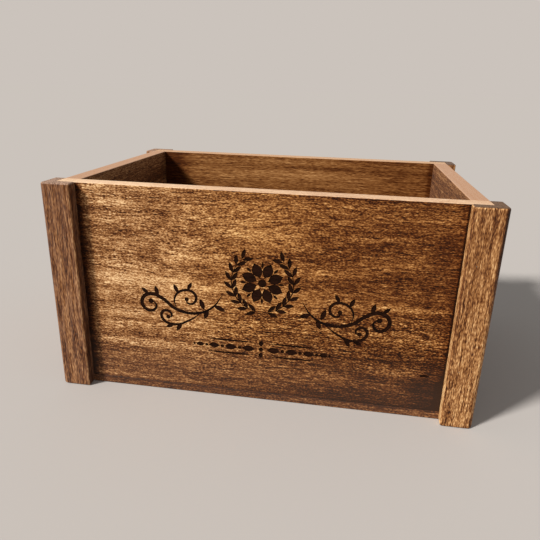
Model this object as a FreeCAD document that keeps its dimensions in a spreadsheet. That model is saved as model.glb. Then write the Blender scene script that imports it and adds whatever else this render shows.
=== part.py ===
import FreeCAD, Part
import os
import Sketcher

# An open-topped wooden keepsake box: four boards butted into a frame, a thin bottom board
# nailed up under them, and a rebated L-shaped post wrapped round each outside corner.
# Millimetres. The origin is under the middle of the box, on the surface it stands on.
# +X runs along the long front, +Y runs from the front to the back and +Z is up.

DRIVING_SIZES = {
    # The carcass of boards, measured over their outer faces and without the posts.
    "box_length": 305.0,
    "box_depth": 207.0,
    "box_height": 165.0,
    "wall_thickness": 12.7,
    "bottom_thickness": 6.35,
    "arris_easing": 0.6,
    # The corner posts, one L-shaped moulding each.
    "post_leg_width": 23.0,
    "post_leg_thickness": 8.5,
    "post_corner_radius": 4.0,
    "post_easing": 0.8,
    # The brads that hold the boards, with small flat heads set under the surface.
    "brad_diameter": 1.2,
    "brad_head_diameter": 2.0,
    "brad_head_thickness": 0.9,
    "brad_point_length": 2.4,
    "brad_setting_depth": 0.3,
    "joint_brad_length": 32.0,
    "bottom_brad_length": 25.0,
    "bottom_brad_end_distance": 38.0,
    # The headless pins that hold the posts while their glue dries, which stop this far
    # short of coming through the board behind.
    "pin_diameter": 0.65,
    "pin_point_length": 1.2,
    "pin_setting_depth": 0.3,
    "pin_tip_cover": 2.9,
    # Room all round a nail in the hole it has made.
    "nail_clearance": 0.05,
    # How many nails each row holds.
    "joint_brad_row_count": 3,
    "long_side_brad_count": 4,
    "short_side_brad_count": 2,
    "pin_row_count": 2,
}

# Sizes that follow from the driving ones.
WALL_HEIGHT = "(sizes.box_height - sizes.bottom_thickness)"
HALF_LENGTH = "(sizes.box_length / 2)"
HALF_DEPTH = "(sizes.box_depth / 2)"
SIDE_BOARD_LENGTH = "(sizes.box_depth - 2 * sizes.wall_thickness)"
POST_HALF_LENGTH = "(sizes.box_length / 2 + sizes.post_leg_thickness)"
POST_HALF_DEPTH = "(sizes.box_depth / 2 + sizes.post_leg_thickness)"
POST_LAP = "(sizes.post_leg_width - sizes.post_leg_thickness)"
PIN_LENGTH = ("(sizes.post_leg_thickness + sizes.wall_thickness"
              " - sizes.pin_setting_depth - sizes.pin_tip_cover)")

# The nails of one corner share an evenly spaced ladder up the wall, so that no two of them
# meet. Each kind has a first and a last rung, counted from the wall's foot.
LADDER_GAPS = 8
JOINT_BRAD_RUNGS = (1, 7)
LONG_LEG_PIN_RUNGS = (2, 6)
SHORT_LEG_PIN_RUNGS = (3, 5)

# The four upright faces: how far each is turned about +Z from the front, and where a point
# lies that is so far to the left on that face and so far out from the box's middle.
FACES = {
    "front": {"turn": 0, "x": "-{left}", "y": "-{out}"},
    "right": {"turn": 90, "x": "{out}", "y": "-{left}"},
    "back": {"turn": 180, "x": "{left}", "y": "{out}"},
    "left": {"turn": 270, "x": "-{out}", "y": "{left}"},
}

UPRIGHT = 90
UPSIDE_DOWN = 180
PLACE_TOLERANCE = 0.001

doc = FreeCAD.newDocument("open_wooden_box")
pieces = []


def fill_sheet():
    """Write each driving size into the sheet under its own name."""
    sheet = doc.addObject("Spreadsheet::Sheet", "sizes")
    for row, (name, value) in enumerate(DRIVING_SIZES.items(), start=1):
        sheet.set(f"A{row}", name.replace("_", " "))
        sheet.set(f"B{row}", str(value))
        sheet.setAlias(f"B{row}", name)
    doc.recompute()


def new_body(label):
    """An empty body that carries its own label."""
    body = doc.addObject("PartDesign::Body", label)
    body.Label = label
    return body


def origin_feature(body, role):
    """One of the body's own planes or axes, found by its role."""
    return next(item for item in body.Origin.OriginFeatures if item.Role == role)


def new_sketch(body, name, plane):
    """A sketch on one of the body's own planes."""
    sketch = body.newObject("Sketcher::SketchObject", name)
    sketch.AttachmentSupport = (origin_feature(body, plane), [""])
    sketch.MapMode = "FlatFace"
    return sketch


def draw_outline(sketch, rough_corners):
    """A closed outline of straight lines, each kept level or upright where its two ends
    are. The corners are only roughly placed, and take their sizes from fix_corner."""
    points = [FreeCAD.Vector(across, along, 0) for across, along in rough_corners]
    lines = len(points)
    for start in range(lines):
        sketch.addGeometry(Part.LineSegment(points[start], points[(start + 1) % lines]), False)
    for line in range(lines):
        following = (line + 1) % lines
        sketch.addConstraint(Sketcher.Constraint("Coincident", line, 2, following, 1))
        if points[line].y == points[following].y:
            sketch.addConstraint(Sketcher.Constraint("Horizontal", line))
        elif points[line].x == points[following].x:
            sketch.addConstraint(Sketcher.Constraint("Vertical", line))


def fix_corner(sketch, line, name, across=None, along=None):
    """Hold the start of a line at a distance from the sketch's origin, each way that a
    size is given for."""
    origin = (-1, 1)
    for kind, size, suffix in (("DistanceX", across, "across"), ("DistanceY", along, "along")):
        if size is None:
            continue
        start = sketch.Geometry[line].StartPoint
        rough = start.x if kind == "DistanceX" else start.y
        number = sketch.addConstraint(Sketcher.Constraint(kind, *origin, line, 1, rough))
        sketch.renameConstraint(number, f"{name}_{suffix}")
        sketch.setExpression(f"Constraints.{name}_{suffix}", size)


def pad(body, sketch, height):
    """Raise a sketch to a height along its own normal."""
    feature = body.newObject("PartDesign::Pad", "raised")
    feature.Profile = sketch
    feature.setExpression("Length", height)
    doc.recompute()
    return feature


def edges_where(shape, wanted):
    """The names of the edges whose box passes a test."""
    return [f"Edge{number}" for number, edge in enumerate(shape.Edges, start=1)
            if wanted(edge.BoundBox)]


def round_edges(body, base, name, wanted, radius):
    """Round the chosen edges of a feature."""
    fillet = body.newObject("PartDesign::Fillet", name)
    fillet.Base = (base, edges_where(base.Shape, wanted))
    fillet.setExpression("Radius", radius)
    doc.recompute()
    return fillet


def near(first, second):
    """Whether two measures are the same, to within a hair."""
    return abs(first - second) < PLACE_TOLERANCE


def place_on_face(item, face, left, out, height, tilt=0):
    """Stand an item on one of the four upright faces, turned to look out of it."""
    item.Placement = FreeCAD.Placement(
        FreeCAD.Vector(), FreeCAD.Rotation(FACES[face]["turn"], 0, tilt))
    item.setExpression(".Placement.Base.x", FACES[face]["x"].format(left=left, out=out))
    item.setExpression(".Placement.Base.y", FACES[face]["y"].format(left=left, out=out))
    item.setExpression(".Placement.Base.z", height)


def make_board(label, length, thickness, height):
    """A board that stands on its long edge: its outer face lies along local X, its
    thickness goes back from there, and both long top arrises are eased."""
    body = new_body(label)
    sketch = new_sketch(body, "footprint", "XY_Plane")
    draw_outline(sketch, [(-10, 0), (10, 0), (10, 5), (-10, 5)])
    fix_corner(sketch, 0, "left_outer", f"-{length} / 2", "0")
    fix_corner(sketch, 2, "right_inner", f"{length} / 2", thickness)
    board = pad(body, sketch, height)
    top = board.Shape.BoundBox.ZMax
    round_edges(body, board, "eased_top",
                lambda box: near(box.ZMin, top) and box.XLength > box.YLength,
                "sizes.arris_easing")
    return body


def make_bottom_board(label):
    """The thin board under the four walls, as long and as deep as their outer faces."""
    body = new_body(label)
    sketch = new_sketch(body, "footprint", "XY_Plane")
    draw_outline(sketch, [(-10, -5), (10, -5), (10, 5), (-10, 5)])
    fix_corner(sketch, 0, "front_left", f"-{HALF_LENGTH}", f"-{HALF_DEPTH}")
    fix_corner(sketch, 2, "back_right", HALF_LENGTH, HALF_DEPTH)
    pad(body, sketch, "sizes.bottom_thickness")
    return body


def make_post(label):
    """A corner post: an L in plan with its outer corner at the origin and its two legs
    along +X and +Y, the outer corner well rounded and the other outer arrises eased."""
    body = new_body(label)
    sketch = new_sketch(body, "section", "XY_Plane")
    draw_outline(sketch, [(0, 0), (20, 0), (20, 8), (8, 8), (8, 20), (0, 20)])
    fix_corner(sketch, 0, "outer_corner", "0", "0")
    fix_corner(sketch, 2, "first_leg_end", "sizes.post_leg_width", "sizes.post_leg_thickness")
    fix_corner(sketch, 4, "second_leg_end", "sizes.post_leg_thickness", "sizes.post_leg_width")
    post = pad(body, sketch, "sizes.box_height")

    def outer_corner(box):
        return near(box.XMax, 0) and near(box.YMax, 0)

    rounded = round_edges(body, post, "rounded_corner", outer_corner, "sizes.post_corner_radius")
    leg_end = DRIVING_SIZES["post_leg_width"]
    back_of_leg = DRIVING_SIZES["post_leg_thickness"]

    def leg_arris(box):
        upright = box.ZLength > DRIVING_SIZES["box_height"] / 2
        first_leg = near(box.XMin, leg_end) and near(box.YMax, 0)
        second_leg = near(box.YMin, leg_end) and near(box.XMax, 0)
        return upright and (first_leg or second_leg)

    eased = round_edges(body, rounded, "eased_legs", leg_arris, "sizes.post_easing")

    def end_arris(box):
        level = near(box.ZLength, 0)
        against_first_wall = near(box.YMin, back_of_leg) and near(box.YMax, back_of_leg)
        against_second_wall = near(box.XMin, back_of_leg) and near(box.XMax, back_of_leg)
        return level and not against_first_wall and not against_second_wall

    round_edges(body, eased, "eased_ends", end_arris, "sizes.arris_easing")
    return body


def make_nails(label, kind, length, columns, run, rows, rise, as_holes):
    """A block of like nails, or of the holes they have made. Each points down local -Z from
    the wood's surface, with columns along +X and rows along +Y from the first nail. A hole
    reaches up to the surface and has room round the nail, whose head sits on its step."""
    body = new_body(label)
    body.AllowCompound = True
    room = "sizes.nail_clearance" if as_holes else "0"
    surface = "0" if as_holes else f"-sizes.{kind}_setting_depth"
    point_start = f"-(sizes.{kind}_setting_depth + {length} - sizes.{kind}_point_length)"
    tip = f"-(sizes.{kind}_setting_depth + {length} + {room})"
    shank = f"(sizes.{kind}_diameter / 2 + {room})"
    sketch = new_sketch(body, "half_profile", "XZ_Plane")
    if kind == "brad":
        head = f"(sizes.brad_head_diameter / 2 + {room})"
        step = "-(sizes.brad_setting_depth + sizes.brad_head_thickness)"
        draw_outline(sketch, [(0, 0), (2, 0), (2, -1), (1, -1), (1, -20), (0, -24)])
        fix_corner(sketch, 2, "head_edge", head, step)
        fix_corner(sketch, 4, "shank_end", shank, point_start)
        fix_corner(sketch, 5, "tip", along=tip)
    else:
        draw_outline(sketch, [(0, 0), (1, 0), (1, -20), (0, -24)])
        fix_corner(sketch, 2, "shank_end", shank, point_start)
        fix_corner(sketch, 3, "tip", along=tip)
    fix_corner(sketch, 0, "top", "0", surface)
    nail = body.newObject("PartDesign::Revolution", "turned")
    nail.Profile = sketch
    nail.ReferenceAxis = (sketch, ["V_Axis"])
    nail.Angle = 360
    doc.recompute()
    block = body.newObject("PartDesign::LinearPattern", "nailed_block")
    block.Originals = [nail]
    block.Direction = (origin_feature(body, "X_Axis"), [""])
    block.setExpression("Length", run)
    block.setExpression("Occurrences", columns)
    block.Direction2 = (origin_feature(body, "Y_Axis"), [""])
    block.setExpression("Length2", rise)
    block.setExpression("Occurrences2", rows)
    body.Tip = block
    doc.recompute()
    return body


def drive_nails(label, place, **nails):
    """Add a block of nails as one piece, and return the holes that it has made."""
    driven = make_nails(label, as_holes=False, **nails)
    holes = make_nails(f"{label}_holes", as_holes=True, **nails)
    place(driven)
    place(holes)
    pieces.append(driven)
    return holes


def rung_height(rungs):
    """The height of the first of a kind's rungs on the ladder of nails."""
    return f"(sizes.bottom_thickness + {rungs[0]} * {WALL_HEIGHT} / {LADDER_GAPS})"


def rung_rise(rungs):
    """The height from the first to the last of a kind's rungs."""
    return f"({rungs[1] - rungs[0]} * {WALL_HEIGHT} / {LADDER_GAPS})"


def drive_joint_brads(face):
    """Brads through the front or back board into the ends of the two side boards."""
    def place(block):
        left = f"({HALF_LENGTH} - sizes.wall_thickness / 2)"
        place_on_face(block, face, left, HALF_DEPTH, rung_height(JOINT_BRAD_RUNGS), UPRIGHT)

    return drive_nails(
        f"{face}_joint_brads", place, kind="brad", length="sizes.joint_brad_length",
        columns="2", run="sizes.box_length - sizes.wall_thickness",
        rows="sizes.joint_brad_row_count", rise=rung_rise(JOINT_BRAD_RUNGS))


def drive_long_leg_pins(face):
    """Pins through the post legs that lie on the front or back board."""
    def place(block):
        left = f"({HALF_LENGTH} - {POST_LAP} / 2)"
        place_on_face(block, face, left, POST_HALF_DEPTH, rung_height(LONG_LEG_PIN_RUNGS), UPRIGHT)

    return drive_nails(
        f"{face}_post_pins", place, kind="pin", length=PIN_LENGTH,
        columns="2", run=f"sizes.box_length - {POST_LAP}",
        rows="sizes.pin_row_count", rise=rung_rise(LONG_LEG_PIN_RUNGS))


def drive_short_leg_pins(face):
    """Pins through the post legs on one end of the box, into the ends of the front and
    back boards."""
    def place(block):
        left = f"({HALF_DEPTH} - sizes.wall_thickness / 2)"
        place_on_face(block, face, left, POST_HALF_LENGTH, rung_height(SHORT_LEG_PIN_RUNGS), UPRIGHT)

    return drive_nails(
        f"{face}_post_pins", place, kind="pin", length=PIN_LENGTH,
        columns="2", run="sizes.box_depth - sizes.wall_thickness",
        rows="sizes.pin_row_count", rise=rung_rise(SHORT_LEG_PIN_RUNGS))


def place_under(block, first_x, first_y):
    """Turn a block of nails to be driven up through the bottom board from below."""
    block.Placement = FreeCAD.Placement(
        FreeCAD.Vector(), FreeCAD.Rotation(0, 0, UPSIDE_DOWN))
    block.setExpression(".Placement.Base.x", first_x)
    block.setExpression(".Placement.Base.y", first_y)


def drive_long_side_bottom_brads():
    """Brads up through the bottom board into the front and back boards."""
    def place(block):
        first_x = f"sizes.bottom_brad_end_distance - {HALF_LENGTH}"
        place_under(block, first_x, f"{HALF_DEPTH} - sizes.wall_thickness / 2")

    return drive_nails(
        "long_side_bottom_brads", place, kind="brad", length="sizes.bottom_brad_length",
        columns="sizes.long_side_brad_count",
        run="sizes.box_length - 2 * sizes.bottom_brad_end_distance",
        rows="2", rise="sizes.box_depth - sizes.wall_thickness")


def drive_short_side_bottom_brads():
    """Brads up through the bottom board into the two side boards."""
    rise = f"({SIDE_BOARD_LENGTH} - 2 * sizes.bottom_brad_end_distance)"

    def place(block):
        place_under(block, f"sizes.wall_thickness / 2 - {HALF_LENGTH}", f"{rise} / 2")

    return drive_nails(
        "short_side_bottom_brads", place, kind="brad", length="sizes.bottom_brad_length",
        columns="2", run="sizes.box_length - sizes.wall_thickness",
        rows="sizes.short_side_brad_count", rise=rise)


def drill(label, blank, nail_holes):
    """Cut from a piece of wood the holes of the nails that pass through it."""
    drilled = doc.addObject("Part::Cut", label)
    drilled.Label = label
    drilled.Base = blank
    drilled.Tool = nail_holes
    doc.recompute()
    pieces.append(drilled)


def join_holes(label, blocks):
    """Gather blocks of nail holes into one tool."""
    gathered = doc.addObject("Part::Compound", label)
    gathered.Links = blocks
    doc.recompute()
    return gathered


def build_box():
    """Drive the nails, then make each piece of wood and drill it for them."""
    joint_holes = [drive_joint_brads("front"), drive_joint_brads("back")]
    long_leg_holes = [drive_long_leg_pins("front"), drive_long_leg_pins("back")]
    short_leg_holes = [drive_short_leg_pins("left"), drive_short_leg_pins("right")]
    bottom_holes = [drive_long_side_bottom_brads(), drive_short_side_bottom_brads()]
    wall_holes = join_holes(
        "wall_holes", joint_holes + long_leg_holes + short_leg_holes + bottom_holes)
    post_holes = join_holes("post_holes", long_leg_holes + short_leg_holes)

    for face in ("front", "back"):
        board = make_board(f"{face}_blank", "sizes.box_length", "sizes.wall_thickness",
                           WALL_HEIGHT)
        place_on_face(board, face, "0", HALF_DEPTH, "sizes.bottom_thickness")
        drill(f"{face}_panel", board, wall_holes)
    for face in ("left", "right"):
        board = make_board(f"{face}_blank", SIDE_BOARD_LENGTH, "sizes.wall_thickness",
                           WALL_HEIGHT)
        place_on_face(board, face, "0", HALF_LENGTH, "sizes.bottom_thickness")
        drill(f"{face}_panel", board, wall_holes)

    drill("bottom_board", make_bottom_board("bottom_blank"), join_holes("board_holes", bottom_holes))

    corners = {"front": "front_left", "right": "front_right",
               "back": "back_right", "left": "back_left"}
    for face, corner in corners.items():
        post = make_post(f"{corner}_post_blank")
        along, out = POST_HALF_LENGTH, POST_HALF_DEPTH
        if face in ("left", "right"):
            along, out = out, along
        place_on_face(post, face, along, out, "0")
        drill(f"{corner}_corner_post", post, post_holes)


def check_and_export():
    """Stop if anything failed, then write one file for each piece."""
    doc.recompute()
    for item in doc.Objects:
        if "Invalid" in item.State or "Error" in item.State:
            raise RuntimeError(f"{item.Label} failed: {item.State}")
    os.makedirs("parts", exist_ok=True)
    for piece in pieces:
        if piece.Shape.isNull() or not piece.Shape.isValid():
            raise RuntimeError(f"{piece.Label} has no sound shape")
    for piece in pieces:
        piece.Shape.exportStep(f"parts/{piece.Label}.step")
        print(piece.Label, len(piece.Shape.Solids), "solids", round(piece.Shape.Volume, 1))


fill_sheet()
build_box()
check_and_export()
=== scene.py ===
import math

import bpy
from mathutils import Matrix, Vector


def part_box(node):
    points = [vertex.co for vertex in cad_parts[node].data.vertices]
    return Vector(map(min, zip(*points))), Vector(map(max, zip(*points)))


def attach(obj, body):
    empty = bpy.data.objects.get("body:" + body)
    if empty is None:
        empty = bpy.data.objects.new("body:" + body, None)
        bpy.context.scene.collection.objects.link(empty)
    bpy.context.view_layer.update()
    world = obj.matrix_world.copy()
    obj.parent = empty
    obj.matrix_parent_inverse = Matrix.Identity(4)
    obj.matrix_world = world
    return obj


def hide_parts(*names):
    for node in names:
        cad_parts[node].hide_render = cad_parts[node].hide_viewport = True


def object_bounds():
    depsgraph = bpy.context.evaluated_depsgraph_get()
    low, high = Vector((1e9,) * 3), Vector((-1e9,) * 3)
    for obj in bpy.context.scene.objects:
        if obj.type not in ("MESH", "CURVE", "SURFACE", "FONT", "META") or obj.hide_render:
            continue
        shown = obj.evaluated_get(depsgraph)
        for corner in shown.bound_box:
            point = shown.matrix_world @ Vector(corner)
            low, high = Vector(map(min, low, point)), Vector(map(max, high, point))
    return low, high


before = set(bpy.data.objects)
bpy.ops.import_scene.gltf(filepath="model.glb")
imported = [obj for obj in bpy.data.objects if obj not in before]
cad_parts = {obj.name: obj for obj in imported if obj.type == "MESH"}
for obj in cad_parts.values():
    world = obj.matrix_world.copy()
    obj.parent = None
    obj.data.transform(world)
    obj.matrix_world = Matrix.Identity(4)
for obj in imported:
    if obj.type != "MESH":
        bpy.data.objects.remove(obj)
cad_low, cad_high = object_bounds()


# The front board. A flat-sawn hardwood board, its arrises taken off with sandpaper, rubbed
# with a dark walnut stain and waxed. It laps over the ends of the two side boards, and a
# rosette in a laurel wreath, with a scroll on each side, is burnt into its face.

MM = 0.001
rim_height = cad_high.z
front_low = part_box("front_panel")[0]
seam_height = front_low.z


class Value:
    """The output of a shader node, which Python's own signs add to and multiply."""

    def __init__(self, recipe, socket):
        self.recipe = recipe
        self.socket = socket

    def maths(self, operation, *terms, clamp=False):
        settings = {"operation": operation, "use_clamp": clamp}
        return self.recipe.node("ShaderNodeMath", settings, dict(enumerate(terms)))

    def __add__(self, other):
        return self.maths("ADD", self, other)

    def __radd__(self, other):
        return self.maths("ADD", other, self)

    def __sub__(self, other):
        return self.maths("SUBTRACT", self, other)

    def __rsub__(self, other):
        return self.maths("SUBTRACT", other, self)

    def __mul__(self, other):
        return self.maths("MULTIPLY", self, other)

    def size(self):
        return self.maths("ABSOLUTE", self)

    def kept_in(self):
        """Held between 0 and 1."""
        return self.maths("ADD", self, 0.0, clamp=True)

    def at_least(self, other):
        return self.maths("MAXIMUM", self, other)

    def step(self, start, end):
        """0 at start and 1 at end, with a soft step between. Where start is above end,
        the step goes down."""
        settings = {"interpolation_type": "SMOOTHSTEP"}
        low, high = sorted((start, end))
        first, last = (0.0, 1.0) if start < end else (1.0, 0.0)
        return self.recipe.node("ShaderNodeMapRange", settings, {
            "Value": self, "From Min": low, "From Max": high, "To Min": first, "To Max": last})

    def step_mm(self, start, end):
        """The same step for a place, whose start and end are in millimetres."""
        return self.step(start * MM, end * MM)


class Recipe:
    """The nodes of one material."""

    def __init__(self, owner):
        owner.use_nodes = True
        self.tree = owner.node_tree
        self.tree.nodes.clear()

    def node(self, kind, settings=None, sockets=None, out=0):
        """Add a node: its settings first, then the values or links of its sockets."""
        made = self.tree.nodes.new(kind)
        for name, setting in (settings or {}).items():
            if name == "stops":
                self.set_stops(made.color_ramp, setting)
            else:
                setattr(made, name, setting)
        for name, value in (sockets or {}).items():
            if isinstance(value, Value):
                self.tree.links.new(value.socket, made.inputs[name])
            else:
                made.inputs[name].default_value = value
        return Value(self, made.outputs[out]) if made.outputs else None

    def set_stops(self, ramp, stops):
        while len(ramp.elements) < len(stops):
            ramp.elements.new(0.5)
        for element, (place, colour) in zip(ramp.elements, stops):
            element.position = place
            element.color = colour

    def place(self):
        """The three object coordinates, in metres."""
        where = self.node("ShaderNodeTexCoord", out="Object")
        return [self.node("ShaderNodeSeparateXYZ", sockets={"Vector": where}, out=axis)
                for axis in ("X", "Y", "Z")]

    def noise(self, along, across, through, detail, rough):
        """Cloudy values, from -0.5 to 0.5 about 0."""
        where = self.node("ShaderNodeCombineXYZ", sockets={
            "X": along, "Y": across, "Z": through})
        cloud = self.node("ShaderNodeTexNoise", {"normalize": True}, {
            "Vector": where, "Scale": 1.0, "Detail": detail, "Roughness": rough})
        return cloud - 0.5

    def mix(self, share, first, second, way="MIX"):
        """The second colour laid over the first."""
        return self.node("ShaderNodeMix", {"data_type": "RGBA", "blend_type": way}, {
            0: share, 6: first, 7: second}, out=2)

    def surface(self, sockets):
        shader = self.node("ShaderNodeBsdfPrincipled", sockets=sockets)
        self.node("ShaderNodeOutputMaterial", sockets={"Surface": shader})


def stain(red, green, blue):
    """A colour as a paint chart gives it, from 0 to 255, made linear."""
    parts = []
    for part in (red, green, blue):
        share = part / 255
        parts.append(share / 12.92 if share <= 0.04045 else ((share + 0.055) / 1.055) ** 2.4)
    return (*parts, 1.0)


walnut = [
    (0.0, stain(28, 9, 2)),
    (0.26, stain(82, 41, 12)),
    (0.5, stain(140, 93, 52)),
    (0.74, stain(194, 146, 98)),
    (1.0, stain(240, 202, 152)),
]


def grain_of(recipe, direction, shift, straight=0.0, bend=None):
    """The parts of a stained board's figure, whose fibres run along one axis. Straight
    grain, nearer 1, has longer fibres. bend says by place how far the figure sinks."""
    x, y, z = recipe.place()
    along, across, through = {"x": (x, z, y), "y": (y, z, x), "z": (z, x, y)}[direction]
    along = along + shift
    looser = 1 - 0.7 * straight
    wander_height = 10 * MM * looser
    ripple_height = 1.3 * MM * looser
    wander = recipe.noise(along * 9, across * 20, through * 20, 2, 0.5) * wander_height
    ripple = recipe.noise(along * 80, across * 60, through * 60, 1, 0.5) * ripple_height
    fine_level = across + wander + ripple
    level = fine_level + bend(x, z) if bend else fine_level
    depth = through + wander + ripple
    grain = {"x": x, "y": y, "z": z, "height": across + ripple}
    # Each part has the level that it follows, how often it changes in a metre along the
    # fibres, how much slower it does so in straight grain, how often it changes in a metre
    # across them, and its detail and roughness.
    for part, follows, length_rate, slower, width_rate, detail, rough in (
            ("bands", level, 3.4, 1, 52, 2, 0.55),
            ("clouds", level, 13, looser, 46, 2, 0.5),
            ("streaks", level, 9, looser, 270, 2, 0.55),
            ("fibres", fine_level, 130, looser, 900, 2, 0.6),
            ("flecks", fine_level, 600, looser, 1500, 1, 0.6),
            ("pores", fine_level, 62, looser, 820, 1, 0.5)):
        grain[part] = recipe.noise(
            along * length_rate * slower, follows * width_rate, depth * width_rate, detail, rough)
    grain["pores"] = grain["pores"].step(0.08, 0.22)
    return grain


def wood(name, direction, shift, shade, top_rub_and_sheen, warmth=0.0, dust=0.0, contrast=1.0,
         straight=0.0, bend=None, end_grain=False, rub_and_sheen_depth=0.5 * MM):
    """Stained wood. shade gives its lightness by place, warmth its redness, dust a paler,
    greyer wash and contrast how strong its figure is, each as one number or by place. Its top
    is lightened to the given top colour from the given depth below the rim, partly rubbed wear
    and partly painted sheen of the lamp on the top faces."""
    material = bpy.data.materials.new(name)
    recipe = Recipe(material)
    grain = grain_of(recipe, direction, shift, straight, bend)
    grit = grain["fibres"] * 1.25 + grain["flecks"] * 1.6 - grain["pores"] * 0.22
    grit = grit * (1 - 0.25 * straight)
    figure = (grain["bands"] * (1 - 0.5 * straight) + grain["clouds"] * (0.3 - 0.15 * straight)
              + grain["streaks"] * (0.5 + 0.3 * straight))
    middle_tone = 0.525
    base = middle_tone + shade(grain)
    dust, warmth, contrast = (
        share(grain) if callable(share) else share for share in (dust, warmth, contrast))
    swing = 0.45 + base * 0.85
    lightness = base + (grit + figure) * swing * contrast
    colour = recipe.node("ShaderNodeValToRGB", {"stops": walnut}, {"Fac": lightness.kept_in()})
    pale_wash = stain(152, 124, 108)
    red_wash = (1.0, 0.92, 0.71, 1.0)
    colour = recipe.mix(dust, colour, pale_wash)
    colour = recipe.mix(warmth, colour, red_wash, "MULTIPLY")

    # The lighter top is partly rubbed wear and partly painted sheen of the lamp on the top faces.
    rub_and_sheen_start = rim_height - rub_and_sheen_depth
    full_rub_and_sheen = rim_height - 0.2 * MM
    rub_and_sheen_strength = 0.94
    top = grain["z"].step(rub_and_sheen_start, full_rub_and_sheen)
    if end_grain:
        pores = recipe.noise(grain["x"] * 900, grain["y"] * 900, grain["z"] * 50, 2, 0.6)
        rub_and_sheen_share = 0.6 + pores * 2.6
        least_rubbed_and_sheen = stain(56, 37, 26)
    else:
        rub_and_sheen_share = 0.66 + grit * 0.7 + figure * 1.1
        least_rubbed_and_sheen = stain(184, 136, 100)
    rubbed_and_sheen_colour = recipe.mix(rub_and_sheen_share.kept_in(), least_rubbed_and_sheen, top_rub_and_sheen)
    colour = recipe.mix(top * rub_and_sheen_strength, colour, rubbed_and_sheen_colour)

    relief = recipe.node("ShaderNodeBump", {}, {
        "Strength": 0.3, "Distance": 0.4 * MM, "Height": grit * 0.4 + grain["streaks"] * 0.5})
    recipe.surface({
        "Base Color": colour,
        "Roughness": (0.5 - grit * 0.12).kept_in(),
        "Specular IOR Level": 0.12,
        "Normal": relief})
    return material


def burnt_wood():
    """The floor and walls of a burnt line, where the fibres still show."""
    material = bpy.data.materials.new("burnt_wood")
    recipe = Recipe(material)
    grain = grain_of(recipe, "x", 1.7)
    spared = 0.45 + grain["fibres"] * 1.8 + grain["flecks"] + grain["streaks"] * 0.5
    burnt_floor = recipe.mix(spared.kept_in(), stain(14, 5, 2), stain(43, 21, 11))
    burnt_wall = stain(16, 7, 5)
    wall_foot = front_low.y + engraving_depth * 0.9
    mid_wall = front_low.y + engraving_depth * 0.5
    wall = grain["y"].step(wall_foot, mid_wall)
    recipe.surface({
        "Base Color": recipe.mix(wall, burnt_floor, burnt_wall),
        "Roughness": 0.85,
        "Specular IOR Level": 0.05})
    return material


def select_edges(piece, wanted):
    """In edit mode, leave selected only the edges whose two ends pass a test."""
    bpy.ops.object.mode_set(mode="EDIT")
    bpy.ops.mesh.select_mode(type="EDGE")
    bpy.ops.mesh.select_all(action="DESELECT")
    bpy.ops.object.mode_set(mode="OBJECT")
    corners = piece.data.vertices
    for edge in piece.data.edges:
        edge.select = wanted(*(corners[end].co for end in edge.vertices))
    bpy.ops.object.mode_set(mode="EDIT")


def plane_board(name, node):
    """A board as it comes from the plane, with sharp edges, the size of its node."""
    low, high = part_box(node)
    bpy.ops.object.select_all(action="DESELECT")
    bpy.ops.mesh.primitive_cube_add(size=1, location=(low + high) / 2, scale=high - low)
    board = bpy.context.object
    board.name = name
    bpy.ops.object.transform_apply(location=True, rotation=True, scale=True)
    return board


def ease(piece, width, wanted, segments=3):
    """Round the edges whose two ends pass a test."""
    select_edges(piece, wanted)
    bpy.ops.mesh.bevel(offset=width, segments=segments, affect="EDGES")
    bpy.ops.object.mode_set(mode="OBJECT")


def every_edge(first, second):
    """Whatever its two ends, an edge is eased."""
    return True


def cut_away(piece, cutter):
    """Cut one closed shape out of a piece, whose new faces keep the cutter's material."""
    cut = piece.modifiers.new("cut", "BOOLEAN")
    cut.operation = "DIFFERENCE"
    cut.solver = "EXACT"
    cut.use_self = True
    cut.material_mode = "TRANSFER"
    cut.object = cutter
    bpy.context.view_layer.objects.active = piece
    bpy.ops.object.modifier_apply(modifier=cut.name)
    bpy.data.objects.remove(cutter)


def rub_smooth(piece):
    """Shade the rounded edges smoothly and leave the broad faces flat."""
    bpy.ops.object.select_all(action="DESELECT")
    piece.select_set(True)
    bpy.context.view_layer.objects.active = piece
    bpy.ops.object.shade_smooth_by_angle(angle=math.radians(40))
    weigh = piece.modifiers.new("weigh", "WEIGHTED_NORMAL")
    weigh.keep_sharp = True
    bpy.ops.object.modifier_apply(modifier=weigh.name)


def close_up(shape):
    """Set a shape's place in its mesh, weld its seams and turn its faces outwards."""
    bpy.ops.object.transform_apply(location=True, rotation=True, scale=True)
    bpy.ops.object.mode_set(mode="EDIT")
    bpy.ops.mesh.select_all(action="SELECT")
    bpy.ops.mesh.remove_doubles(threshold=0.005 * MM)
    bpy.ops.mesh.normals_make_consistent(inside=False)
    bpy.ops.object.mode_set(mode="OBJECT")
    return shape


def join_shapes(shapes):
    """Join shapes into one object, each still closed by itself."""
    bpy.ops.object.select_all(action="DESELECT")
    for shape in shapes:
        shape.select_set(True)
    bpy.context.view_layer.objects.active = shapes[0]
    bpy.ops.object.join()
    return bpy.context.object


board_arris = 0.6 * MM
engraving_depth = 0.45 * MM
engraving_unevenness = 0.0006 * MM
engraving_middle = 1.4 * MM
shapes = []


def burn_depth():
    """Each shape is burnt a hair deeper than the last, so that no two floors lie level."""
    return engraving_depth + len(shapes) * engraving_unevenness


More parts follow.
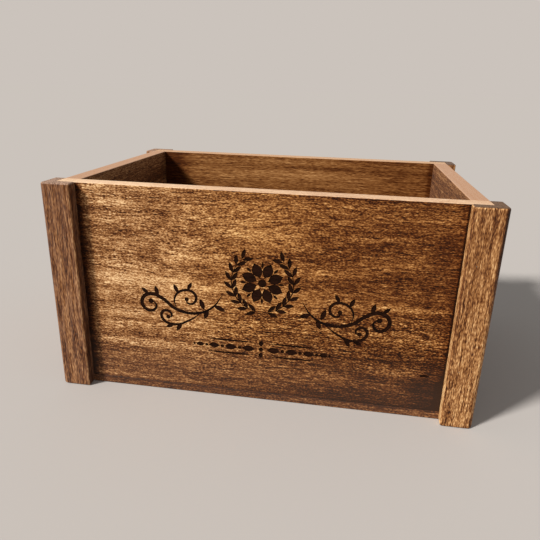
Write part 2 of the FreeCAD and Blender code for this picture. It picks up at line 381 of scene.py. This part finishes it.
def burn_leaf(x, z, length, width, turn):
    """A pointed leaf. Its stalk is at x, z, in mm, and its tip lies along turn, in degrees."""
    turn = math.radians(turn)
    half = length * MM / 2
    middle = (engraving_middle + x * MM + half * math.cos(turn), front_low.y,
              z * MM + half * math.sin(turn))
    bpy.ops.object.select_all(action="DESELECT")
    bpy.ops.curve.primitive_bezier_circle_add(
        radius=1, location=middle, rotation=(math.pi / 2, -turn, 0))
    leaf = bpy.context.object
    leaf.scale = (half, width * MM / 2, 1)
    for point in leaf.data.splines[0].bezier_points:
        at_an_end = abs(point.co.y) < 0.1
        if at_an_end:
            point.handle_left_type = "VECTOR"
            point.handle_right_type = "VECTOR"
    leaf.data.dimensions = "2D"
    leaf.data.fill_mode = "BOTH"
    leaf.data.resolution_u = 5
    leaf.data.extrude = burn_depth()
    bpy.ops.object.convert(target="MESH")
    return close_up(leaf)


def burn_dot(x, z, radius):
    """A round dot, in mm."""
    bpy.ops.object.select_all(action="DESELECT")
    bpy.ops.mesh.primitive_cylinder_add(
        vertices=24, radius=radius * MM, depth=burn_depth() * 2,
        location=(engraving_middle + x * MM, front_low.y, z * MM), rotation=(math.pi / 2, 0, 0))
    return close_up(bpy.context.object)


def burn_line(points, thickness):
    """A line through points, in mm, that swells in the middle and tapers to both ends."""
    bpy.ops.object.select_all(action="DESELECT")
    bpy.ops.curve.primitive_bezier_curve_add()
    line = bpy.context.object
    spline = line.data.splines[0]
    spline.bezier_points.add(len(points) - len(spline.bezier_points))
    last = len(points) - 1
    tip_share = 0.12
    for place, (point, (x, z)) in enumerate(zip(spline.bezier_points, points)):
        point.co = (engraving_middle + x * MM, 0, z * MM)
        point.handle_left_type = "AUTO"
        point.handle_right_type = "AUTO"
        swell = math.sin(math.pi * place / last) ** 0.7
        point.radius = tip_share + (1 - tip_share) * swell
    line.data.bevel_depth = thickness * MM / 2
    line.data.bevel_resolution = 1
    line.data.resolution_u = 6
    line.data.use_fill_caps = True
    bpy.ops.object.convert(target="MESH")
    line.scale.y = burn_depth() / (thickness * MM / 2)
    line.location.y = front_low.y
    return close_up(line)


def pointing(turn):
    """One mm over the face of the board, that many degrees up from the right."""
    return Vector((math.cos(math.radians(turn)), math.sin(math.radians(turn))))


rosette_height = 98
petal_count = 8
half_petal = 180 / petal_count
petal_start = 4.2
sepal_start = 11.5
for petal in range(petal_count):
    turn = 2 * half_petal * petal + half_petal
    outward = pointing(turn)
    start = outward * petal_start
    shapes.append(burn_leaf(
        start.x, rosette_height + start.y, length=12.4, width=7.8, turn=turn))
    between = Matrix.Rotation(math.radians(half_petal), 2) @ outward * sepal_start
    shapes.append(burn_leaf(
        between.x, rosette_height + between.y, length=5, width=2, turn=turn + half_petal))
shapes.append(burn_dot(0, rosette_height, radius=3.1))

wreath_radius = 23
leaf_pairs = 9
lowest_leaf = -80
leaf_spacing = 16
leaf_lean = 32
leaf_gap = 0.4
stalk_points = 9
stalk_foot = -86
stalk_spacing = 16.5
rule_height = 44
rule_leaf_lift = 2.3


def on_wreath(side, turn):
    """The place on one half of the wreath that lies that many degrees above its middle."""
    around = math.radians(turn)
    return (side * wreath_radius * math.cos(around),
            rosette_height + wreath_radius * math.sin(around))


# The right half of the scrolls and of the beaded rule, mirrored for the left. All is in mm,
# from the ornament's middle and from the foot of the box. Lines come first, each with its
# thickness, then dots with their radius, and leaves with length, width and turn in degrees.
half_lines = (
    ([(30, 86), (37, 76), (50, 69.5), (66, 71.5), (77, 79.5), (86, 82.5), (93, 77.5),
      (91, 70), (84.5, 69), (82, 74), (86, 77)], 3.5),
    ([(46, 70.5), (56, 63), (68, 58.5), (77, 62), (77.5, 68), (72.5, 69.5), (70, 65.5),
      (73, 63.5)], 2.8),
    ([(66, 71.5), (67, 81), (60, 87.5), (51.5, 85.5), (51, 79), (56.5, 77), (58.5, 81)], 2.6),
    ([(6, 49.4), (14, 49.4), (24, 49.4), (34, 49.4), (42, 49.4)], 1.8),
    ([(6, 38.6), (14, 38.6), (24, 38.6), (34, 38.6), (42, 38.6)], 1.8),
)
half_dots = (
    (86, 76.6, 2.0),
    (72.8, 64.4, 1.7),
    (57.6, 80.4, 1.7),
    (16.6, rule_height, 1.4),
    (30.1, rule_height, 1.4),
    (42.6, rule_height, 1.2),
    (52.4, rule_height, 1.0),
)
half_leaves = (
    (37, 77, 10, 3.8, 200),
    (41, 73.5, 9, 3.6, -70),
    (44, 72.5, 10, 3.8, 70),
    (80, 81, 9, 3.4, 75),
    (87.5, 82.2, 7.5, 3.0, 40),
    (62, 60.8, 9, 3.4, -60),
    (68, 58.8, 8, 3.0, -25),
    (64, 84.5, 8.5, 3.2, 65),
    (57, 87.8, 7.5, 3.0, 120),
    (4.6, rule_height, 10.2, 5.0, 0),
    (18.5, rule_height, 10.0, 4.8, 0),
    (32, rule_height, 9.2, 4.4, 0),
    (44.2, rule_height, 7, 3.6, 0),
)
for side in (-1, 1):
    for pair in range(leaf_pairs):
        around = lowest_leaf + pair * leaf_spacing
        for lean in (-leaf_lean, leaf_lean):
            turn = around + 90 + lean
            if side < 0:
                turn = 180 - turn
            start = Vector(on_wreath(side, around)) + pointing(turn) * leaf_gap
            shapes.append(burn_leaf(start.x, start.y, length=8.6, width=3.1, turn=turn))
    stalk = [on_wreath(side, stalk_foot + place * stalk_spacing) for place in range(stalk_points)]
    shapes.append(burn_line(stalk, thickness=1.0))
    for points, thickness in half_lines:
        shapes.append(burn_line([(side * x, z) for x, z in points], thickness))
    for x, z, radius in half_dots:
        shapes.append(burn_dot(side * x, z, radius))
    for x, z, length, width, turn in half_leaves:
        turn = turn if side > 0 else 180 - turn
        shapes.append(burn_leaf(side * x, z, length, width, turn))
shapes.append(burn_dot(0, rule_height, radius=1.7))
for turn in (90, -90):
    lift = math.copysign(rule_leaf_lift, turn)
    shapes.append(burn_leaf(0, rule_height + lift, length=5.0, width=3.4, turn=turn))

# A small chip in the face, low on the right. It is as dark as the burning.
chip_place = Vector((123.6 * MM, front_low.y - 0.06 * MM, 35.4 * MM))
chip_half_size = (3.4 * MM, 0.8 * MM, 1.0 * MM)
chip_turn = (0.2, math.radians(-6), 0)
bpy.ops.object.select_all(action="DESELECT")
bpy.ops.mesh.primitive_ico_sphere_add(
    subdivisions=3, radius=1, location=chip_place, rotation=chip_turn, scale=chip_half_size)
shapes.append(close_up(bpy.context.object))

ornament = join_shapes(shapes)
ornament.data.materials.clear()
ornament.data.materials.append(burnt_wood())


# Streaks in the front board's figure, in mm: the middle across and up, half the length, half
# the height, and how much lighter the streak is than the board round it.
front_marks = (
    (-122, 155, 24, 8, 0.16),
    (-110, 147.5, 24, 3, 0.10),
    (-74, 149, 17, 4, -0.10),
    (-38, 142, 30, 4, 0.08),
    (24, 145, 22, 6, -0.08),
    (105, 144, 34, 7, -0.08),
    (28, 142, 12, 3, 0.10),
    (-24, 137, 16, 3, 0.08),
    (-8, 134, 36, 4, 0.18),
    (-50, 131.5, 18, 3.5, -0.08),
    (-108, 131, 26, 5, -0.12),
    (-90, 137, 14, 3, -0.06),
    (-48, 118, 28, 6, 0.18),
    (-64, 127, 28, 5, 0.10),
    (-54, 107, 28, 3, -0.14),
    (-68, 105, 20, 3, 0.10),
    (-124, 121, 14, 4, -0.10),
    (-85, 115, 11, 6, -0.18),
    (-108, 108, 20, 5, 0.12),
    (-40, 98, 14, 5, -0.12),
    (8, 133, 9, 4, -0.08),
    (38, 133.5, 12, 3, -0.08),
    (35, 124.5, 16, 3, 0.10),
    (86, 137, 28, 3, 0.08),
    (68, 158, 24, 1.2, 0.12),
    (82, 124, 12, 1.2, 0.10),
    (128, 136, 9, 8, -0.14),
    (126, 124, 11, 8, -0.08),
    (65, 114, 14, 3, -0.08),
    (103, 109, 16, 4, -0.07),
    (86, 100.5, 14, 2, 0.07),
    (103, 93, 42, 2.6, -0.10),
    (103, 86.5, 42, 2.6, 0.16),
    (58, 86, 16, 4, 0.12),
    (113, 76.5, 24, 4, 0.14),
    (74, 72, 50, 8, 0.14),
    (108, 62, 26, 10, 0.10),
    (96, 37, 28, 4, 0.10),
    (90, 28, 22, 3, -0.08),
    (64, 55, 16, 3, 0.10),
    (52, 40, 14, 2.5, -0.10),
    (18, 23, 26, 4, -0.10),
    (-118, 94, 20, 4, 0.08),
    (-104, 85, 30, 3, -0.14),
    (-106, 74.5, 30, 3, -0.16),
    (-94, 61, 30, 3, -0.14),
    (-104, 55, 20, 2.5, 0.08),
    (-100, 47, 22, 3.5, -0.12),
    (-90, 40, 60, 4, 0.22),
    (122, 27, 20, 7, -0.12),
    (130, 22, 16, 24, -0.14),
    (136.5, 17, 4.5, 18, -0.24),
)


def front_shade(grain):
    """Streaks by place, darker to the right and along the foot, where stain has gathered,
    with painted shadow and shade on the board beside the posts."""
    x, z = grain["x"], grain["z"]
    shade = x.step_mm(-70, 115) * -0.24 + 0.05
    paler_right = x.step_mm(60, 120) * 0.10
    darker_middle = x.step_mm(-100, -10) * 0.12
    shade = shade + z.step_mm(62, 14) * (paler_right - darker_middle - 0.16)
    shade = shade + z.step_mm(22, 10) * (x.step_mm(-90, -30) * -0.03 - 0.03)
    shade = shade + z.step(seam_height + 2.5 * MM, seam_height) * -0.15
    # Painted shadow of the left post: a band beside it, darkest at the post, left out in the lit
    # triangle at the top where the lamp reaches over the post.
    left_post_shadow = x.step_mm(-117, -137) * (z.step_mm(62, 12) * 0.14 - 0.17)
    left_post_shadow = left_post_shadow + x.step_mm(-131, -137) * -0.38
    shade = shade + left_post_shadow * (x + z).step_mm(31, 25)
    # Painted shade beside the right post, darkest at the joint.
    shade = shade + x.step_mm(131, 137) * -0.10 + x.step_mm(136, 137.4) * -0.26
    for middle_x, middle_z, half_length, half_height, strength in front_marks:
        along = (x - middle_x * MM) * (1 / (half_length * MM))
        across = (grain["height"] - middle_z * MM) * (1 / (half_height * MM))
        shade = shade + (along * along + across * across).step(1.6, 0.0) * strength
    return shade


def front_bend(x, z):
    """In the upper left the figure sinks to the right, as it does below a branch."""
    deepest = 17
    along = x.step_mm(-128, -20) * x.step_mm(110, -10)
    return along * z.step_mm(88, 118) * z.step_mm(154, 122) * deepest * MM


front_board = plane_board("front_board", "front_panel")
ease(front_board, board_arris, every_edge)
# Its pale cream rim top is partly rubbed wear and partly painted sheen.
front_board.data.materials.append(wood(
    "walnut_front", "x", 1.7, front_shade, stain(250, 216, 178),
    warmth=lambda grain: (
        grain["x"].step_mm(-110, 10) * (1 - grain["z"].step_mm(60, 16) * 0.6)),
    dust=lambda grain: grain["z"].step_mm(60, 16) * 0.08,
    contrast=lambda grain: (
        grain["z"].step_mm(90, 60) * grain["x"].step_mm(-90, 20) * 0.4 + 1),
    bend=front_bend))
cut_away(front_board, ornament)
rub_smooth(front_board)
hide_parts("front_panel")
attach(front_board, "root")


# The back board. The front board's twin, of the same stained wood but with nothing burnt into
# it. It laps over the far ends of the side boards and is nailed to them.

def back_shade(grain):
    """Darker along the foot and to the right, with painted shade in the two inner corners."""
    inner = grain["y"].step_mm(92, 91.6)
    # Painted shade: the left wall's shadow deepened in the left inner corner, and the right inner
    # corner darkened.
    left_corner_shadow = grain["x"].step_mm(-102, -130) * -0.28
    right_corner_shade = grain["x"].step_mm(134, 138) * -0.16
    right = grain["x"].step_mm(20, 110) * -0.08
    foot = grain["z"].step_mm(40, 8) * -0.08
    return foot + (left_corner_shadow + right_corner_shade) * inner + right - 0.05


back_board = plane_board("back_board", "back_panel")
ease(back_board, board_arris, every_edge)
# Its pale top colour is partly rubbed wear and partly painted sheen.
back_board.data.materials.append(wood(
    "walnut_back", "x", 5.3, back_shade, stain(206, 170, 134), warmth=0.6, contrast=0.7,
    straight=0.9))
rub_smooth(back_board)
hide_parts("back_panel")
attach(back_board, "root")


# The two side boards. They stand between the front and the back board, glued at their ends
# and held by brads driven through the front and the back.

for side, shift, lightness, dust in (("left", 9.1, -0.09, 0.08), ("right", 12.4, -0.15, 0.17)):
    side_board = plane_board(f"{side}_board", f"{side}_panel")
    ease(side_board, board_arris, every_edge)
    # Its pale top colour is partly rubbed wear and partly painted sheen.
    side_board.data.materials.append(wood(
        f"walnut_{side}", "y", shift,
        lambda grain: grain["z"].step_mm(40, 8) * -0.08 + lightness,
        stain(190, 151, 122), dust=dust, straight=0.7))
    rub_smooth(side_board)
    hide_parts(f"{side}_panel")
    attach(side_board, "root")


# The bottom board. It is half as thick as the walls and nailed up under them, so its edge
# shows as a band round the foot of the box. The brads' heads are set in from below.

brad_head_radius = 1.0 * MM
brad_hole_radius = brad_head_radius * 1.06
brad_hole_depth = 1.3 * MM
thin_board_arris = 0.5 * MM


def drill_row(node, columns):
    """A short round hole under the head of each upright brad of a node."""
    low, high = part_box(node)
    holes = []
    for column in range(columns):
        share = column / (columns - 1)
        x = low.x + brad_head_radius + share * (high.x - low.x - 2 * brad_head_radius)
        for y in (low.y + brad_head_radius, high.y - brad_head_radius):
            bpy.ops.object.select_all(action="DESELECT")
            bpy.ops.mesh.primitive_cylinder_add(
                vertices=20, radius=brad_hole_radius, depth=brad_hole_depth * 2,
                location=(x, y, 0))
            holes.append(close_up(bpy.context.object))
    return holes


thin_board = plane_board("thin_board", "bottom_board")
ease(thin_board, thin_board_arris, every_edge)
thin_board.data.materials.append(wood(
    "walnut_bottom", "x", 15.8,
    lambda grain: grain["z"].step(seam_height - 2.6 * MM, seam_height) * -0.20 - 0.21,
    stain(120, 80, 56), dust=0.1))
cut_away(thin_board, join_shapes(
    drill_row("long_side_bottom_brads", columns=4)
    + drill_row("short_side_bottom_brads", columns=2)))
rub_smooth(thin_board)
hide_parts("bottom_board")
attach(thin_board, "root")


# The four corner posts. Each is a length of moulding with an L section and one well rounded
# edge, glued and pinned round a corner, its foot level with the bottom board and its top
# with the rim. Its two ends are end grain.

post_thickness = 8.5 * MM
corner_radius = 4 * MM
post_arris = 1.3 * MM
pin_radius = 0.325 * MM
pin_hole_radius = pin_radius * 1.5
pin_hole_length = 1.2 * MM
hair = 0.01 * MM
squarely = 0.9


def select_faces(piece, wanted):
    """In edit mode, leave selected only the faces that pass a test."""
    bpy.ops.object.mode_set(mode="EDIT")
    bpy.ops.mesh.select_mode(type="FACE")
    bpy.ops.mesh.select_all(action="DESELECT")
    bpy.ops.object.mode_set(mode="OBJECT")
    for face in piece.data.polygons:
        face.select = wanted(face)
    bpy.ops.object.mode_set(mode="EDIT")


def shape_post(name, node):
    """Draw two legs out of a corner block, then round the edges that a hand would meet."""
    low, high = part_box(node)
    middle = (low + high) / 2
    out_x, out_y = math.copysign(1, middle.x), math.copysign(1, middle.y)
    outer = Vector((high.x if out_x > 0 else low.x, high.y if out_y > 0 else low.y))
    leg_width = high.x - low.x
    half = post_thickness / 2
    bpy.ops.object.select_all(action="DESELECT")
    bpy.ops.mesh.primitive_cube_add(
        size=1, location=(outer.x - out_x * half, outer.y - out_y * half, middle.z),
        scale=(post_thickness, post_thickness, high.z - low.z))
    post = bpy.context.object
    post.name = name
    bpy.ops.object.transform_apply(location=True, rotation=True, scale=True)

    draw_out = leg_width - post_thickness
    select_faces(post, lambda face: face.normal.x * out_x < -squarely)
    bpy.ops.mesh.extrude_region_move(
        TRANSFORM_OT_translate={"value": (-out_x * draw_out, 0, 0)})
    bpy.ops.object.mode_set(mode="OBJECT")
    select_faces(post, lambda face: (
        face.normal.y * out_y < -squarely and abs(face.center.x - outer.x) < post_thickness))
    bpy.ops.mesh.extrude_region_move(
        TRANSFORM_OT_translate={"value": (0, -out_y * draw_out, 0)})
    bpy.ops.mesh.select_all(action="SELECT")
    bpy.ops.mesh.dissolve_limited(angle_limit=math.radians(1))
    bpy.ops.object.mode_set(mode="OBJECT")

    def inset(corner):
        return abs(corner.x - outer.x), abs(corner.y - outer.y)

    def upright(first, second):
        return abs(first.z - second.z) > rim_height / 2

    def at_corner(first, second):
        return upright(first, second) and max(inset(first)) < hair

    def at_leg_end(first, second):
        near, far = sorted(inset(first))
        return upright(first, second) and near < hair and far > leg_width - hair

    def round_the_end(first, second):
        level = abs(first.z - second.z) < hair
        against_board = any(
            max(abs(inset(end)[axis] - post_thickness) for end in (first, second)) < hair
            for axis in (0, 1))
        return level and not against_board

    ease(post, corner_radius, at_corner, segments=8)
    ease(post, post_arris, lambda first, second: (
        at_leg_end(first, second) or round_the_end(first, second)))
    return post


def pin_holes(node):
    """A narrow hole over each of the four pins of a node."""
    low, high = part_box(node)
    holes = []
    for z in (low.z + pin_radius, high.z - pin_radius):
        if node.startswith(("front", "back")):
            face_y = low.y if node.startswith("front") else high.y
            places = [(x, face_y, z) for x in (low.x + pin_radius, high.x - pin_radius)]
            turn = (math.pi / 2, 0, 0)
        else:
            face_x = low.x if node.startswith("left") else high.x
            places = [(face_x, y, z) for y in (low.y + pin_radius, high.y - pin_radius)]
            turn = (0, math.pi / 2, 0)
        for place in places:
            bpy.ops.object.select_all(action="DESELECT")
            bpy.ops.mesh.primitive_cylinder_add(
                vertices=12, radius=pin_hole_radius, depth=pin_hole_length,
                location=place, rotation=turn)
            holes.append(close_up(bpy.context.object))
    return holes


# Where the faces of a front post lie, in mm from the middle of the box.
wall_face = 103.5
post_face = 112
leg_end = 138
post_side = 161


def post_shade(lightness, arris, reveal_light_and_shade, outer, foot=0.0, brow=0.0):
    """One lightness for the broad faces of a post, and by how much the arris of each leg,
    the leg's end behind it, the rounded corner, the foot and the edge of the top differ."""
    def shade(grain):
        across, deep = grain["x"].size(), grain["y"].size()
        on_front = deep.step_mm(wall_face + 0.1, wall_face + 0.5)
        at_arris = deep.step_mm(post_face - 1.4, post_face - 0.6)
        at_arris = at_arris * across.step_mm(leg_end + 1.5, leg_end + 0.8)
        # Painted light and shade on the leg's end: lighter where it faces the lamp, darker where
        # it faces away.
        at_reveal = on_front * deep.step_mm(post_face - 0.8, post_face - 1.4)
        at_reveal = at_reveal * across.step_mm(leg_end + 1.4, leg_end + 0.6)
        # Painted shade on the rounded corner, where it turns away from the lamp.
        at_corner = across.step_mm(post_side - 3.4, post_side - 1.6)
        at_corner = at_corner * deep.step_mm(post_face - 4.6, post_face - 2.4)
        at_corner = at_corner * grain["z"].step_mm(60, 150)
        at_foot = grain["z"].step_mm(95, 25)
        at_brow = grain["z"].step(rim_height - 1.8 * MM, rim_height - 1.0 * MM)
        return (lightness + at_arris * arris + at_reveal * reveal_light_and_shade + at_corner * outer
                + at_foot * foot + at_brow * brow)
    return shade


dust_unevenness = 5
for corner, shift, shade, dust, warmth, straight, top_colour, rub_and_sheen_depth in (
        ("front_left", 21.5, post_shade(-0.17, arris=0.13, reveal_light_and_shade=-0.10, outer=-0.10),
         0.14, 0.0, 0.85, stain(190, 154, 130), 1.3 * MM),
        ("front_right", 27.9,
         post_shade(-0.04, arris=-0.14, reveal_light_and_shade=0.22, outer=-0.44, foot=0.08, brow=0.13),
         0.06, 0.5, 0.6, stain(112, 84, 62), 0.6 * MM),
        ("back_left", 33.2, post_shade(-0.05, arris=0.04, reveal_light_and_shade=-0.05, outer=-0.10),
         0.15, 0.0, 0.6, stain(186, 146, 120), 1.3 * MM),
        ("back_right", 38.6, post_shade(-0.08, arris=0.0, reveal_light_and_shade=-0.05, outer=-0.20),
         0.06, 0.45, 0.6, stain(112, 90, 76), 1.3 * MM)):
    post = shape_post(f"{corner}_post", f"{corner}_corner_post")
    post.data.materials.append(wood(
        f"walnut_{corner}_post", "z", shift, shade, top_colour, warmth=warmth,
        dust=lambda grain: (grain["fibres"] * dust * dust_unevenness + dust).kept_in(),
        contrast=lambda grain: grain["z"].step_mm(120, 50) * 0.14 + 1.05,
        straight=straight, end_grain=True, rub_and_sheen_depth=rub_and_sheen_depth))
    front_or_back, left_or_right = corner.split("_")
    cut_away(post, join_shapes(
        pin_holes(f"{front_or_back}_post_pins") + pin_holes(f"{left_or_right}_post_pins")))
    rub_smooth(post)
    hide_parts(f"{corner}_corner_post")
    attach(post, "root")


# The brads and pins. Bright steel wire nails, driven in until their heads lie just under
# the surface of the wood. They stay as they are in the frame.

steel = bpy.data.materials.new("nail_steel")
recipe = Recipe(steel)
x, y, z = recipe.place()
scratch_rate = 2000
drawn = recipe.noise(x * scratch_rate, y * scratch_rate, z * scratch_rate, 1, 0.5)
recipe.surface({
    "Base Color": recipe.mix((0.5 + drawn).kept_in(), stain(120, 116, 110), stain(176, 172, 166)),
    "Metallic": 1.0,
    "Roughness": (0.38 + drawn * 0.2).kept_in()})
for node in ("front_joint_brads", "back_joint_brads", "long_side_bottom_brads",
             "short_side_bottom_brads", "front_post_pins", "back_post_pins",
             "left_post_pins", "right_post_pins"):
    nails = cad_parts[node]
    nails.data.materials.clear()
    nails.data.materials.append(steel)


# The floor. A sheet of pale paper just under the box, which runs on to the skyline. It is
# there for the picture only, and no part of the box.

bpy.ops.object.select_all(action="DESELECT")
floor_drop = 0.2 * MM
bpy.ops.mesh.primitive_plane_add(size=60, location=(0, 0, -floor_drop))
floor = bpy.context.object
floor.name = "floor"
bpy.ops.object.transform_apply(location=True, rotation=True, scale=True)
paper = bpy.data.materials.new("paper")
Recipe(paper).surface({
    "Base Color": stain(186, 181, 177), "Roughness": 0.95, "Specular IOR Level": 0.0})
floor.data.materials.append(paper)


# The light. One lamp, soft at the edges of its shadows, high on the left in front, and a
# pale room all round, whose own colour the camera sees as the floor's.

light_way = Vector((1.0, 0.82, -1.0))
bpy.ops.object.light_add(type="SUN", location=(-1, -1, 2))
lamp = bpy.context.object
lamp.data.energy = 4.45
lamp.data.angle = math.radians(9)
lamp.data.color = (1.0, 0.97, 0.93)
lamp.rotation_mode = "QUATERNION"
lamp.rotation_quaternion = light_way.to_track_quat("-Z", "Y")

world = bpy.data.worlds.new("room")
bpy.context.scene.world = world
room = Recipe(world)
seen = room.node("ShaderNodeLightPath", out="Is Camera Ray")
for ray in ("Is Glossy Ray", "Is Transmission Ray"):
    seen = seen.at_least(room.node("ShaderNodeLightPath", out=ray))
fill = room.node("ShaderNodeBackground", {}, {"Color": stain(228, 226, 224), "Strength": 0.45})
skyline = room.node("ShaderNodeBackground", {}, {"Color": stain(203, 195, 188), "Strength": 1.0})
both = room.node("ShaderNodeMixShader", {}, {0: seen, 1: fill, 2: skyline})
room.node("ShaderNodeOutputWorld", {}, {"Surface": both})


# The camera. It stands where the photograph was taken from, in front of the box, a little to
# the right and above, tilted by a degree and a half, with the photograph's focal length.

camera_place = Vector((59.4, -448.06, 233.36)) * MM
heading = math.radians(8.667)
tilt_down = math.radians(19.641)
roll = math.radians(1.478)
focal_pixels = 514.02
frame_pixels = 540
bpy.ops.object.camera_add()
camera = bpy.context.object
camera.data.sensor_width = 36
camera.data.lens = camera.data.sensor_width * focal_pixels / frame_pixels
camera.data.clip_start = 0.01
camera.data.clip_end = 200
camera.matrix_world = (Matrix.Translation(camera_place) @ Matrix.Rotation(heading, 4, "Z")
                       @ Matrix.Rotation(math.pi / 2 - tilt_down, 4, "X")
                       @ Matrix.Rotation(roll, 4, "Z"))
bpy.context.scene.camera = camera
bpy.context.scene.view_settings.view_transform = "Standard"
